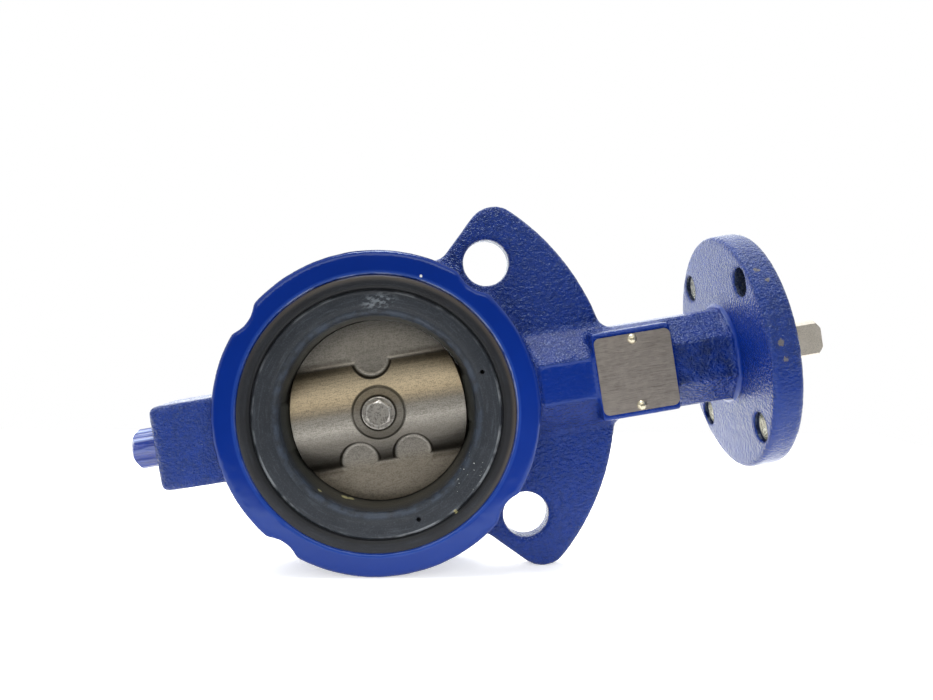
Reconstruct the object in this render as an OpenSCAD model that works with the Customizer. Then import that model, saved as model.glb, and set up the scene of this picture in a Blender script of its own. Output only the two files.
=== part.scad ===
// Wafer butterfly valve, 3 inch, with a rubber seat, an octagonal neck and a bare stem end.
// The stem lies along X, the pipe along Y with the front at -Y, and the origin is the centre of the bore.

/* [Pipe joint] */
// Length between the pipe flanges, over both rubber faces
face_to_face = 46; // [42:1:54]
// Height of each rubber face above the metal face behind it
seat_proud = 1.5; // [0.5:0.1:2.5]
// Diameter of the pipe flanges' bolt circle
bolt_circle = 152.4; // [149:0.1:158]
// Radius of the two bolt holes in the ear
bolt_hole_r = 9.525; // [8:0.005:10.5]
// Chamfer on the edges of the bolt holes
bolt_hole_chamfer = 0.4; // [0.2:0.1:1]
// Radius of the reliefs that clear the bolts at the rim
bolt_relief_r = 13; // [12:0.1:14]

/* [Body ring and ear] */
// Outer radius of the body ring
ring_r = 65.8; // [64:0.2:68]
// Rounding of the ring's outer edges
ring_edge_r = 1.2; // [0.5:0.1:2]
// Outer radius of the ear, about the bore
ear_r = 100; // [96:0.5:106]
// Thickness of the ear
ear_t = 10.6; // [8:0.1:14]
// Distance from a bolt hole's centre line to the straight side of the ear
ear_side = 16; // [14:0.5:19]
// Rounding of the ear's rim
ear_edge_r = 1.6; // [0.5:0.1:2.5]
// Rounding of the ear's outer corners
ear_corner_r = 12; // [8:0.5:13]
// Fillet between the side of the ear and the ring
ear_fillet_r = 8; // [4:0.5:11]
// Fillet between the rim of the ear and the neck
ear_neck_fillet_r = 5; // [2:0.5:8]
// Fillet along the foot of the ear and of the neck
root_fillet_r = 3; // [1:0.5:4]

/* [Neck and top flange] */
// Width of the octagonal neck across its flats
neck_af = 38.4; // [36:0.2:40]
// Distance from the bore's centre to the inner face of the top flange
flange_x = 149.5; // [144:0.5:170]
// Thickness of the top flange
flange_t = 12; // [10:0.5:16]
// Radius of the top flange
flange_r = 50; // [48:0.5:56]
// Rounding of the top flange's edges
flange_edge_r = 1.2; // [0.5:0.1:2]
// Diameter of the top flange's bolt circle
flange_bolt_circle = 82.55; // [76:0.05:84]
// Radius of the four holes in the top flange
flange_hole_r = 5.55; // [4:0.05:6.5]
// Fillet between the neck and the top flange
neck_fillet_r = 4; // [2:0.5:7]

/* [Bottom boss and plug] */
// Distance from the bore's centre to the end of the bottom boss
boss_x = 90.5; // [87:0.5:96]
// Half height of the bottom boss at its end
boss_end_z = 17; // [15:0.5:18]
// Half height of the bottom boss where it meets the ring
boss_root_z = 19.6; // [18.5:0.1:22]
// Half depth of the bottom boss along the pipe
boss_half_y = 17; // [14:0.5:18]
// Rounding of the bottom boss
boss_round_r = 3.5; // [2:0.5:5]
// Width of the plug's square head across its flats
plug_af = 13.2; // [11:0.2:15]
// Width across the cut corners of the plug's head
plug_corner_af = 16.4; // [15.6:0.1:17]
// Length of the plug's head without its crown
plug_head_l = 8.8; // [7:0.2:12]
// Height of the crown on the plug's head
plug_crown_h = 3.6; // [2:0.2:5]
// Angle by which the tightened plug is turned
plug_turn = 23; // [0:1:45]
// Radius of the plug's threaded shank
plug_shank_r = 8.4; // [7:0.1:9.5]
// Gap between the bottom of the stem and the plug
stem_end_gap = 3; // [1:0.5:5]
// Thickness of the plug's sealing washer
plug_washer_t = 1.2; // [0.8:0.1:2]
// Outer radius of the plug's sealing washer
plug_washer_r = 9.8; // [9.4:0.1:12]

/* [Seat] */
// Outer radius of the seat's face flange
seat_flange_r = 55.3; // [53:0.1:57]
// Thickness of the seat's face flange
seat_flange_t = 6.5; // [5:0.1:9]
// Outer radius of the seat's sleeve, in the body's bore
seat_sleeve_r = 47; // [45.5:0.1:48.5]
// Width of the raised bead round the seat's face
seat_bead_w = 5.2; // [3:0.1:6]
// Width of the groove inside the bead
seat_groove_w = 0.9; // [0.5:0.1:1.5]
// Depth of the groove inside the bead
seat_groove_d = 0.8; // [0.4:0.1:1.2]
// Dish of the seat's face, from the groove to the mouth
seat_dish = 1.6; // [0.8:0.1:3]
// Flare of the seat's bore at the mouth
seat_flare = 2; // [1:0.1:4]
// Rounding of the seat's mouth
seat_mouth_r = 3; // [1:0.1:4]
// Radius of the flat land round the stem inside the seat
seat_land_r = 14; // [12.8:0.1:16]
// Radius of the two blind moulding holes in the seat's front face
seat_pip_r = 0.9; // [0.5:0.1:1.2]
// Distance of those holes from the bore's centre
seat_pip_c = 45.1; // [44.5:0.1:47]

/* [Disc] */
// Radius of the disc's edge, which is part of a sphere
disc_r = 37.9; // [36:0.1:39]
// Half thickness of the disc's web
web_half = 4.5; // [3:0.1:6]
// Distance from the stem's axis to the crest of the hub
hub_crest = 12.8; // [11.5:0.1:14]
// Radius of the hub's crown, across the stem
hub_crown_r = 31; // [28:0.5:33]
// Radius of the hollow between the hub's crown and the web
hub_hollow_r = 3; // [2:0.5:4]
// Distance from the bore's centre to the flat ends of the hub
hub_end_x = 35.8; // [34:0.1:36]
// Radius of the scallops in the sides of the hub
scallop_r = 8.4; // [6:0.1:9]
// Fillet round the floor of the scallops
scallop_fillet_r = 2.4; // [1:0.1:3]
// Distance from the disc's centre to the scallops' centres
scallop_c = 22.2; // [21:0.1:24]
// Radius of the machined pad under the disc screw
pad_r = 11.1; // [9:0.1:11.5]
// Height of that pad above the hub's crest
pad_h = 0.8; // [0.3:0.1:1.5]
// Chamfer round that pad
pad_chamfer = 1; // [0.3:0.1:1.2]

/* [Disc screw] */
// Radius of the screw's washer face
screw_flange_r = 6.7; // [6:0.1:8]
// Thickness of the screw's washer face
screw_flange_t = 1.5; // [1:0.1:2.5]
// Width of the screw's hexagon across its flats
screw_hex_af = 9.6; // [8:0.1:10.5]
// Height of the screw's hexagon
screw_hex_h = 2.8; // [2:0.1:4]
// Angle by which the tightened screw is turned
screw_turn = 17; // [0:1:59]
// Radius of the screw's shank
screw_r = 3; // [2.5:0.1:3.4]
// Thickness of the rubber ring under the screw
screw_ring_d = 1.6; // [1:0.1:1.8]

/* [Stem and bearings] */
// Radius of the stem
stem_r = 8; // [7:0.1:8.5]
// Distance from the bore's centre to the top of the stem
stem_top = 192; // [188:0.5:225]
// Distance from the bore's centre to the bottom of the stem
stem_bottom = 78; // [74:0.5:78.5]
// Width of the stem's driving end across its flats
stem_af = 9.6; // [8:0.1:12]
// Length of the flats on the stem's driving end
stem_flat_l = 27; // [18:0.5:30]
// Chamfer at the ends of the stem
stem_chamfer = 1.8; // [0.5:0.1:2.5]
// Clearance all round a turning fit
running_fit = 0.05; // [0.03:0.01:0.09]
// Clearance between the disc and the seat
seat_gap = 0.1; // [0.1:0.05:0.5]
// Outer radius of the stem bushings
bushing_r = 10.5; // [10:0.1:11.5]
// Length of the stem bushings
bushing_l = 18; // [12:0.5:20]
// Thickness of the stem's rubber rings
stem_ring_d = 2.6; // [2:0.1:3]
// Outer radius of the stem packing
packing_r = 11.5; // [10.5:0.1:12.5]
// Thickness of the stem packing
packing_t = 5; // [3:0.5:6]
// Outer radius of the dust wiper in the top flange
wiper_r = 13; // [12.8:0.1:15]
// Thickness of the dust wiper
wiper_t = 3.5; // [2.5:0.5:5]

/* [Nameplate] */
// Width of the nameplate along the stem
plate_w = 31.5; // [28:0.5:34]
// Thickness of the nameplate
plate_t = 0.7; // [0.4:0.1:1]
// Rounding of the nameplate's corners
plate_corner_r = 2.5; // [1:0.1:4]
// Distance from the bore's centre to the middle of the nameplate
plate_x = 105.9; // [104:0.1:120]
// Distance between the two drive screws
plate_screw_pitch = 27.2; // [23:0.1:28]
// Distance from a drive screw to the nameplate's edge
plate_screw_margin = 2.15; // [1.5:0.05:3]
// Radius of the drive screws' heads
drive_head_r = 2; // [1.6:0.1:2.2]
// Height of the drive screws' heads
drive_head_h = 1.3; // [0.8:0.1:1.6]
// Radius of the drive screws' shanks
drive_shank_r = 1.2; // [0.8:0.1:1.4]
// Length of the drive screws' shanks in the body
drive_shank_l = 6; // [4:0.5:8]
// Height of the nameplate's pad above the neck
plate_pad_h = 1.7; // [1:0.1:2.2]
// Margin of that pad past the nameplate along the stem
plate_pad_x = 0.6; // [0.3:0.1:1.5]
// Half height of that pad across the stem
plate_pad_z = 18.1; // [17.5:0.1:19]
// Rounding of that pad's long edges
plate_pad_edge_r = 1; // [0.5:0.1:1.5]

/* [Hidden] */
$fn = 96;

eps = 0.01;
far = 400;
bolts = 4;
bolt_a = 360 / bolts / 2;
body_half = face_to_face / 2 - seat_proud;
face_half = face_to_face / 2;
ear_half = ear_t / 2;
neck_half = neck_af / 2;
neck_circum_r = neck_half / cos(22.5);
flange_top = flange_x + flange_t;
neck_foot_depth = 0.5;
pad_y = neck_half + plate_pad_h;
plate_h = plate_screw_pitch + 2 * plate_screw_margin;

seat_pocket_y = face_half - seat_flange_t;
seat_pocket_clear = 0.3;
seat_face_step = 0.3;
seat_bead_edge = 0.8;
seat_straight = face_half / 3;
seat_lip_chamfer = 0.3;
seat_pip_angles = [13, -78];
seat_pip_depth = 4;
bore_r = disc_r + seat_gap;
land_x = hub_end_x + seat_gap;

stem_bore_r = stem_r + 0.6;
fit_r = stem_r + running_fit;
ring_groove_r = fit_r + stem_ring_d;
stem_ring_seat = 1.5;
bushing_x = seat_sleeve_r + stem_ring_seat + stem_ring_d + 4;
wiper_x = flange_top - wiper_t;
packing_x = wiper_x - packing_t;
upper_bushing_x = packing_x - bushing_l;
plug_shank_l = boss_x - stem_bottom - stem_end_gap;

thread_fit = 0.03;
hub_crown_steps = 12;
hub_hollow_steps = 6;
pad_top = hub_crest + pad_h;
screw_wall = 1.5;
screw_ring_in = screw_r + 0.4;
screw_ring_gap = 0.1;
screw_edge_r = 0.4;

// Lays a shape made along Z along the stem, with its top towards the top flange.
module along_stem() { rotate([0, 90, 0]) children(); }

// Lays a shape made along Z along the pipe, with its top towards the front.
module along_pipe() { rotate([90, 0, 0]) children(); }

// Extrudes an outline drawn in X and Z to a plate of thickness t about the middle plane.
module plate_xz(t) { along_pipe() linear_extrude(height = t, center = true) children(); }

module mirrored_z() { children(); mirror([0, 0, 1]) children(); }
module mirrored_y() { children(); mirror([0, 1, 0]) children(); }

function unit(v) = v / norm(v);
function polar(r, a) = [r * cos(a), r * sin(a)];
function arc(c, r, a0, a1, n) = [for (i = [0:n]) c + polar(r, a0 + (a1 - a0) * i / n)];
function turned(v, a) = [v[0] * cos(a) - v[1] * sin(a), v[0] * sin(a) + v[1] * cos(a)];

// What fills an inner corner up to a round fillet: centre c, radius r, tangent points p and q.
module inner_fillet(c, r, p, q, corner) {
    difference() {
        polygon([corner, p, c, q]);
        translate(c) circle(r);
    }
}

// What a rounded outer corner leaves out: centre c, radius r, and the directions of its ends.
module outer_corner(c, r, d1, d2) {
    reach = 3 * r;
    difference() {
        polygon([c, c + reach * d1, c + reach * (d1 + d2), c + reach * d2]);
        translate(c) circle(r);
    }
}

// Profile of a round bar from z0 to z1, with its outer edges rounded, for rotate_extrude.
module rounded_bar_profile(r, z0, z1, edge_r) {
    difference() {
        translate([0, z0]) square([r, z1 - z0]);
        outer_corner([r - edge_r, z0 + edge_r], edge_r, [1, 0], [0, -1]);
        outer_corner([r - edge_r, z1 - edge_r], edge_r, [1, 0], [0, 1]);
    }
}

// A ring along Z between two radii.
module tube(r_in, r_out, h) {
    difference() {
        cylinder(r = r_out, h = h);
        translate([0, 0, -1]) cylinder(r = r_in, h = h + 2);
    }
}

// A rubber ring along Z with a round section, inner radius r_in, lying at z.
module round_ring(r_in, d, z) {
    translate([0, 0, z]) rotate_extrude() translate([r_in + d / 2, 0]) circle(d / 2, $fn = 32);
}

// A cylinder with both edges chamfered, for holes with a broken edge.
module chamfered_hole(r, h, chamfer) {
    rotate_extrude() polygon([
        [0, -h / 2 - 1], [r + chamfer + 1, -h / 2 - 1], [r, -h / 2 + chamfer],
        [r, h / 2 - chamfer], [r + chamfer + 1, h / 2 + 1], [0, h / 2 + 1]
    ]);
}

// ---- Body ----

// The ear's outline: a quarter of a round plate, its corners rounded, its inner corners filled.
module ear_outline() {
    apex = [-ear_side / sin(bolt_a), 0];
    reach = 2 * ear_r;
    side = turned([0, 1], bolt_a);
    corner_v = ear_side - ear_corner_r;
    corner_u = sqrt(pow(ear_r - ear_corner_r, 2) - pow(corner_v, 2));
    corner_c = turned([corner_u, corner_v], bolt_a);
    root_v = ear_side + ear_fillet_r;
    root_u = sqrt(pow(ring_r + ear_fillet_r, 2) - pow(root_v, 2));
    root_c = turned([root_u, root_v], bolt_a);
    neck_v = neck_half + ear_neck_fillet_r;
    neck_c = [sqrt(pow(ear_r + ear_neck_fillet_r, 2) - pow(neck_v, 2)), neck_v];
    difference() {
        intersection() {
            circle(ear_r);
            polygon([apex, apex + reach * polar(1, bolt_a), apex + reach * polar(1, -bolt_a)]);
        }
        for (m = [0, 1]) mirror([0, m])
            outer_corner(corner_c, ear_corner_r, side, unit(corner_c));
    }
    for (m = [0, 1]) mirror([0, m]) {
        inner_fillet(root_c, ear_fillet_r, ring_r * unit(root_c), root_c - ear_fillet_r * side,
            turned([root_u - ear_fillet_r, ear_side - 2], bolt_a));
        inner_fillet(neck_c, ear_neck_fillet_r, ear_r * unit(neck_c),
            [neck_c[0], neck_half], [ear_r - ear_neck_fillet_r, neck_half - 2]);
    }
}

// The ear: a plate with a rounded rim.
module ear() {
    intersection() {
        plate_xz(far) ear_outline();
        along_pipe() rotate_extrude() rounded_bar_profile(ear_r, -ear_half, ear_half, ear_edge_r);
    }
}

// The hollow fillet where the ring's wall runs into a face of the ear.
module ear_root_fillet() {
    intersection() {
        along_pipe() rotate_extrude() inner_fillet([ring_r + root_fillet_r, ear_half + root_fillet_r],
            root_fillet_r, [ring_r + root_fillet_r, ear_half], [ring_r, ear_half + root_fillet_r],
            [ring_r - 1, ear_half - 1]);
        plate_xz(far) ear_outline();
    }
}

module ring() { along_pipe() rotate_extrude() rounded_bar_profile(ring_r, -body_half, body_half, ring_edge_r); }

// The neck's bevels, carried on past its top and bottom flats as far as the ear's rim.
module neck_foot() {
    peak = neck_half * sqrt(2);
    foot = neck_half - neck_foot_depth;
    intersection() {
        along_stem() linear_extrude(height = far) for (m = [0, 1]) mirror([m, 0])
            polygon([[peak, 0], [foot, foot - peak], [foot, peak - foot]]);
        plate_xz(far) ear_outline();
    }
}

module neck() { along_stem() rotate([0, 0, 22.5]) cylinder(r = neck_circum_r, h = flange_x + 1, $fn = 8); }

// The hollow fillet between the neck's flats and the top flange.
module flange_fillet() {
    along_stem() rotate_extrude() inner_fillet([neck_half + neck_fillet_r, flange_x - neck_fillet_r],
        neck_fillet_r, [neck_half, flange_x - neck_fillet_r], [neck_half + neck_fillet_r, flange_x],
        [neck_half - 1, flange_x + 1]);
}

module top_flange() {
    along_stem() difference() {
        rotate_extrude() rounded_bar_profile(flange_r, flange_x, flange_top, flange_edge_r);
        for (i = [0:3]) rotate([0, 0, 45 + 90 * i]) translate([flange_bolt_circle / 2, 0, flange_x - 1])
            cylinder(r = flange_hole_r, h = flange_t + 2);
    }
}

module nameplate_pad() {
    w = plate_w + 2 * plate_pad_x;
    r = plate_pad_edge_r;
    translate([plate_x - w / 2, 0, 0]) along_stem() linear_extrude(height = w) difference() {
        translate([-plate_pad_z, -pad_y]) square([2 * plate_pad_z, pad_y]);
        for (m = [0, 1]) mirror([m, 0])
            outer_corner([plate_pad_z - r, r - pad_y], r, [1, 0], [0, -1]);
    }
}

// A bar along X with its top at z = 0 and its upper edges rounded.
module boss_bar() {
    r = boss_round_r;
    along_stem() linear_extrude(height = far, center = true) difference() {
        translate([0, -boss_half_y]) square([3 * boss_root_z, 2 * boss_half_y]);
        for (m = [0, 1]) mirror([0, m]) outer_corner([r, boss_half_y - r], r, [0, 1], [-1, 0]);
    }
}

// The boss's plan from its side (half height h) with rounded corners at the free end.
module boss_end_outline(h) {
    r = boss_round_r;
    difference() {
        translate([-boss_x, -h]) square([boss_x, 2 * h]);
        for (m = [0, 1]) mirror([0, m]) outer_corner([r - boss_x, h - r], r, [0, 1], [-1, 0]);
    }
}

// The block under the ring, which widens from its end to its root.
module bottom_boss() {
    draft_a = atan((boss_root_z - boss_end_z) / (boss_x - ring_r));
    intersection() {
        boss_slopes(draft_a);
        plate_xz(far) boss_end_outline(boss_end_z + tan(draft_a) * boss_round_r);
        linear_extrude(height = far, center = true) boss_end_outline(boss_half_y);
    }
}

module boss_slopes(a) {
    intersection() {
        translate([-boss_x, 0, boss_end_z]) rotate([0, -a, 0]) boss_bar();
        mirror([0, 0, 1]) translate([-boss_x, 0, boss_end_z]) rotate([0, -a, 0]) boss_bar();
    }
}

// The pocket that holds the seat: a bore for its sleeve and a recess for each face flange.
module seat_pocket() {
    rim = seat_flange_r + seat_pocket_clear;
    along_pipe() {
        cylinder(r = seat_sleeve_r, h = far, center = true);
        for (m = [0, 1]) mirror([0, 0, m]) rotate_extrude() polygon([
            [0, seat_pocket_y], [rim, seat_pocket_y], [rim, body_half - seat_lip_chamfer],
            [rim + seat_lip_chamfer, body_half], [rim + seat_lip_chamfer, body_half + 1], [0, body_half + 1]
        ]);
    }
}

// The long bore for the stem, with the steps for its bushings, rings, packing and wiper.
module stem_bores() {
    along_stem() {
        translate([0, 0, -stem_bottom - 1]) cylinder(r = stem_bore_r, h = stem_bottom + flange_top + 2);
        translate([0, 0, bushing_x]) cylinder(r = bushing_r, h = bushing_l);
        translate([0, 0, -bushing_x - bushing_l]) cylinder(r = bushing_r, h = bushing_l);
        translate([0, 0, upper_bushing_x]) cylinder(r = bushing_r, h = bushing_l + 1);
        translate([0, 0, packing_x]) cylinder(r = packing_r, h = packing_t + 1);
        translate([0, 0, wiper_x]) cylinder(r = wiper_r, h = wiper_t + 1);
        for (m = [0, 1]) mirror([0, 0, m]) translate([0, 0, seat_sleeve_r - 2])
            cylinder(r = ring_groove_r, h = stem_ring_seat + stem_ring_d + 2);
        translate([0, 0, -boss_x - 1]) cylinder(r = plug_shank_r, h = plug_shank_l + 1);
    }
}

module bolt_holes() {
    for (a = [bolt_a, -bolt_a]) translate([bolt_circle / 2 * cos(a), 0, bolt_circle / 2 * sin(a)])
        along_pipe() chamfered_hole(bolt_hole_r, ear_t, bolt_hole_chamfer);
}

// The shallow round reliefs in the rim, on the line of all four pipe bolts.
module bolt_reliefs() {
    depth = body_half - ear_half;
    for (a = [bolt_a, -bolt_a]) translate([bolt_circle / 2 * cos(a), 0, bolt_circle / 2 * sin(a)])
        mirrored_y() translate([0, -ear_half, 0]) along_pipe() cylinder(r = bolt_relief_r, h = depth + 1);
    for (a = [180 - bolt_a, 180 + bolt_a]) translate([bolt_circle / 2 * cos(a), 0, bolt_circle / 2 * sin(a)])
        along_pipe() cylinder(r = bolt_relief_r, h = 2 * body_half + 2, center = true);
}

module drive_screw_holes() {
    for (z = [-1, 1]) translate([plate_x, -pad_y - 1, z * plate_screw_pitch / 2])
        rotate([-90, 0, 0]) cylinder(r = drive_shank_r, h = drive_shank_l + 1);
}

module body() {
    color("mediumblue") difference() {
        union() {
            ring();
            ear();
            mirrored_y() ear_root_fillet();
            neck_foot();
            neck();
            flange_fillet();
            top_flange();
            nameplate_pad();
            bottom_boss();
        }
        bolt_reliefs();
        bolt_holes();
        seat_pocket();
        stem_bores();
        drive_screw_holes();
    }
}

// ---- Seat ----

// Half of the seat's section, from the middle plane to the front face: radius, then height.
module seat_half_profile() {
    bead_in = seat_flange_r - seat_bead_w;
    groove_in = bead_in - seat_groove_w;
    face = face_half - seat_face_step;
    mouth_r = bore_r + seat_flare;
    mouth_h = face - seat_dish;
    round_c = [mouth_r + seat_mouth_r, mouth_h - seat_mouth_r];
    difference() {
        polygon([
            [bore_r, -eps], [bore_r, seat_straight], [mouth_r, round_c[1]], [mouth_r, mouth_h],
            [round_c[0], mouth_h], [groove_in, face], [groove_in, face - seat_groove_d],
            [bead_in, face - seat_groove_d], [bead_in, face_half - seat_bead_edge],
            [bead_in + seat_bead_edge, face_half], [seat_flange_r - seat_bead_edge, face_half],
            [seat_flange_r, face_half - seat_bead_edge], [seat_flange_r, seat_pocket_y],
            [seat_sleeve_r, seat_pocket_y], [seat_sleeve_r, -eps]
        ]);
        outer_corner(round_c, seat_mouth_r, [-1, 0], [0, 1]);
    }
}

module seat() {
    color([0.11, 0.12, 0.14]) difference() {
        union() {
            along_pipe() for (m = [0, 1]) mirror([0, 0, m]) rotate_extrude() seat_half_profile();
            for (m = [0, 1]) mirror([m, 0, 0]) translate([land_x, 0, 0]) intersection() {
                along_stem() cylinder(r = seat_land_r, h = seat_sleeve_r - land_x);
                translate([-land_x, 0, 0]) along_pipe() cylinder(r = seat_sleeve_r, h = far, center = true);
            }
        }
        along_stem() cylinder(r = fit_r, h = far, center = true);
        for (a = seat_pip_angles) along_pipe() rotate(a) translate([seat_pip_c, 0, face_half - seat_pip_depth])
            cylinder(r = seat_pip_r, h = seat_pip_depth + 1);
    }
}

// ---- Nameplate and plug ----

module nameplate() {
    w = plate_w / 2;
    h = plate_h / 2;
    r = plate_corner_r;
    color([0.66, 0.63, 0.58]) translate([plate_x, -pad_y, 0]) along_pipe() difference() {
        linear_extrude(height = plate_t) difference() {
            square([plate_w, plate_h], center = true);
            for (m = [0, 1], n = [0, 1]) mirror([m, 0]) mirror([0, n])
                outer_corner([w - r, h - r], r, [1, 0], [0, 1]);
        }
        for (z = [-1, 1]) translate([0, z * plate_screw_pitch / 2, -1])
            cylinder(r = drive_shank_r, h = plate_t + 2);
    }
}

// A drive screw with a round head, seated on the nameplate at height z.
module drive_screw(z) {
    dome_r = (pow(drive_head_r, 2) + pow(drive_head_h, 2)) / (2 * drive_head_h);
    color("silver") translate([plate_x, -pad_y - plate_t, z]) along_pipe() rotate_extrude() {
        intersection() {
            translate([0, drive_head_h - dome_r]) circle(dome_r);
            square([drive_head_r, drive_head_h]);
        }
        translate([0, -plate_t - drive_shank_l]) square([drive_shank_r, plate_t + drive_shank_l + eps]);
    }
}

module drive_screw_upper() { drive_screw(plate_screw_pitch / 2); }
module drive_screw_lower() { drive_screw(-plate_screw_pitch / 2); }

// A square-headed plug with cut corners and a crowned end.
module bottom_plug() {
    head_l = plug_head_l + plug_crown_h;
    corner = plug_corner_af / 2;
    crown_r = (pow(corner, 2) + pow(plug_crown_h, 2)) / (2 * plug_crown_h);
    color("mediumblue") translate([-boss_x, 0, 0]) mirror([1, 0, 0]) along_stem() {
        translate([0, 0, -plug_shank_l]) cylinder(r = plug_shank_r, h = plug_shank_l + plug_washer_t + eps);
        translate([0, 0, plug_washer_t]) rotate([0, 0, plug_turn]) intersection() {
            translate([-plug_af / 2, -plug_af / 2, 0]) cube([plug_af, plug_af, head_l]);
            rotate([0, 0, 45]) translate([-corner, -corner, 0]) cube([2 * corner, 2 * corner, head_l]);
            translate([0, 0, head_l - crown_r]) sphere(crown_r);
        }
    }
}

module plug_washer() {
    color("dimgray") translate([-boss_x - plug_washer_t, 0, 0]) along_stem()
        tube(plug_shank_r + thread_fit, plug_washer_r, plug_washer_t);
}

// ---- Bearings and seals in the body ----

module bushing(x) { color("peru") translate([x, 0, 0]) along_stem() tube(fit_r, bushing_r, bushing_l); }
module upper_bushing() { bushing(upper_bushing_x); }
module middle_bushing() { bushing(bushing_x); }
module lower_bushing() { bushing(-bushing_x - bushing_l); }

module stem_packing() {
    color("ivory") translate([packing_x, 0, 0]) along_stem() tube(fit_r, packing_r, packing_t);
}

module dust_wiper() {
    color([0.1, 0.1, 0.1]) translate([wiper_x, 0, 0]) along_stem() tube(fit_r, wiper_r, wiper_t);
}

module stem_ring(side) {
    color([0.1, 0.1, 0.1]) along_stem()
        round_ring(fit_r, stem_ring_d, side * (seat_sleeve_r + stem_ring_seat + stem_ring_d / 2));
}

module stem_ring_upper() { stem_ring(1); }
module stem_ring_lower() { stem_ring(-1); }

// ---- Stem and disc ----

module stem() {
    flat = stem_af / 2;
    color("silver") difference() {
        along_stem() rotate_extrude() polygon([
            [0, -stem_bottom], [stem_r - stem_chamfer, -stem_bottom], [stem_r, stem_chamfer - stem_bottom],
            [stem_r, stem_top - stem_chamfer], [stem_r - stem_chamfer, stem_top], [0, stem_top]
        ]);
        mirrored_y() translate([stem_top - stem_flat_l, flat, -stem_r - 1])
            cube([stem_flat_l + 1, stem_r, 2 * stem_r + 2]);
        along_pipe() cylinder(r = screw_r + thread_fit, h = 3 * stem_r, center = true);
    }
}

// One quarter of the hub's section: half the crown, then the hollow that runs down to the web.
function hub_quarter() =
    let (crown_c = [0, hub_crest - hub_crown_r], hollow_y = web_half + hub_hollow_r,
        hollow_x = sqrt(pow(hub_crown_r + hub_hollow_r, 2) - pow(hollow_y - crown_c[1], 2)),
        lean = atan(hollow_x / (hollow_y - crown_c[1])))
    concat(arc(crown_c, hub_crown_r, 90, 90 - lean, hub_crown_steps),
        arc([hollow_x, hollow_y], hub_hollow_r, 270 - lean, 270, hub_hollow_steps));

module hub() {
    quarter = hub_quarter();
    half = concat(quarter, [for (i = [len(quarter) - 1:-1:0]) [quarter[i][0], -quarter[i][1]]]);
    intersection() {
        along_stem() linear_extrude(height = 2 * hub_end_x, center = true) {
            polygon(half);
            mirror([1, 0]) polygon(half);
        }
        sphere(disc_r);
    }
}

// The round scallops that lighten the hub on both faces, cut down to the web with a hollow foot.
module scallops() {
    foot = scallop_r - scallop_fillet_r;
    for (a = [90, -60, -120]) translate([scallop_c * cos(a), 0, scallop_c * sin(a)])
        mirrored_y() translate([0, -web_half, 0]) along_pipe() rotate_extrude() {
            square([foot, hub_crest]);
            translate([0, scallop_fillet_r]) square([scallop_r, hub_crest]);
            intersection() {
                translate([foot, scallop_fillet_r]) circle(scallop_fillet_r);
                translate([foot, 0]) square(scallop_fillet_r);
            }
        }
}

// The disc's web. Its edge is part of a ball, so that it turns clear of the seat, with a flat at each
// end of the stem.
module web() {
    intersection() {
        along_pipe() rotate_extrude() intersection() {
            circle(disc_r);
            translate([0, -web_half]) square([disc_r, 2 * web_half]);
        }
        cube([2 * hub_end_x, far, far], center = true);
    }
}

module disc() {
    color([0.62, 0.58, 0.52]) difference() {
        union() {
            difference() {
                hub();
                scallops();
            }
            web();
            along_pipe() rotate_extrude() polygon([
                [0, 0], [pad_r, 0], [pad_r, pad_top - pad_chamfer], [pad_r - pad_chamfer, pad_top], [0, pad_top]
            ]);
        }
        along_stem() cylinder(r = fit_r, h = far, center = true);
        along_pipe() {
            translate([0, 0, screw_wall - hub_crest]) cylinder(r = screw_r + thread_fit, h = far);
            translate([0, 0, pad_top - screw_ring_d]) tube(screw_ring_in - screw_ring_gap,
                screw_ring_in + screw_ring_d + screw_ring_gap, screw_ring_d + 1);
        }
    }
}

// The hexagon screw with a washer face that pins the disc to the stem.
module disc_screw() {
    hex_r = screw_hex_af / 2 / cos(30);
    top = screw_flange_t + screw_hex_h;
    color("silver") along_pipe() translate([0, 0, pad_top]) {
        rotate_extrude() rounded_bar_profile(screw_flange_r, 0, screw_flange_t, screw_edge_r);
        rotate([0, 0, screw_turn]) intersection() {
            cylinder(r = hex_r, h = top, $fn = 6);
            cylinder(r1 = hex_r + top, r2 = screw_hex_af / 2 - screw_edge_r, h = top);
        }
        mirror([0, 0, 1]) cylinder(r = screw_r, h = pad_top + hub_crest - 2 * screw_wall);
    }
}

module disc_screw_ring() {
    color([0.1, 0.1, 0.1]) along_pipe() round_ring(screw_ring_in, screw_ring_d, pad_top - screw_ring_d / 2);
}

body();
seat();
bottom_plug();
plug_washer();
nameplate();
drive_screw_upper();
drive_screw_lower();
upper_bushing();
middle_bushing();
lower_bushing();
stem_packing();
dust_wiper();
stem_ring_upper();
stem_ring_lower();
stem();
disc();
disc_screw();
disc_screw_ring();
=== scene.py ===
"""Looks of a wafer butterfly valve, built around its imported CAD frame."""

import math

import bmesh
import bpy
import numpy as np
from mathutils import Matrix, Vector, noise


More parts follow.
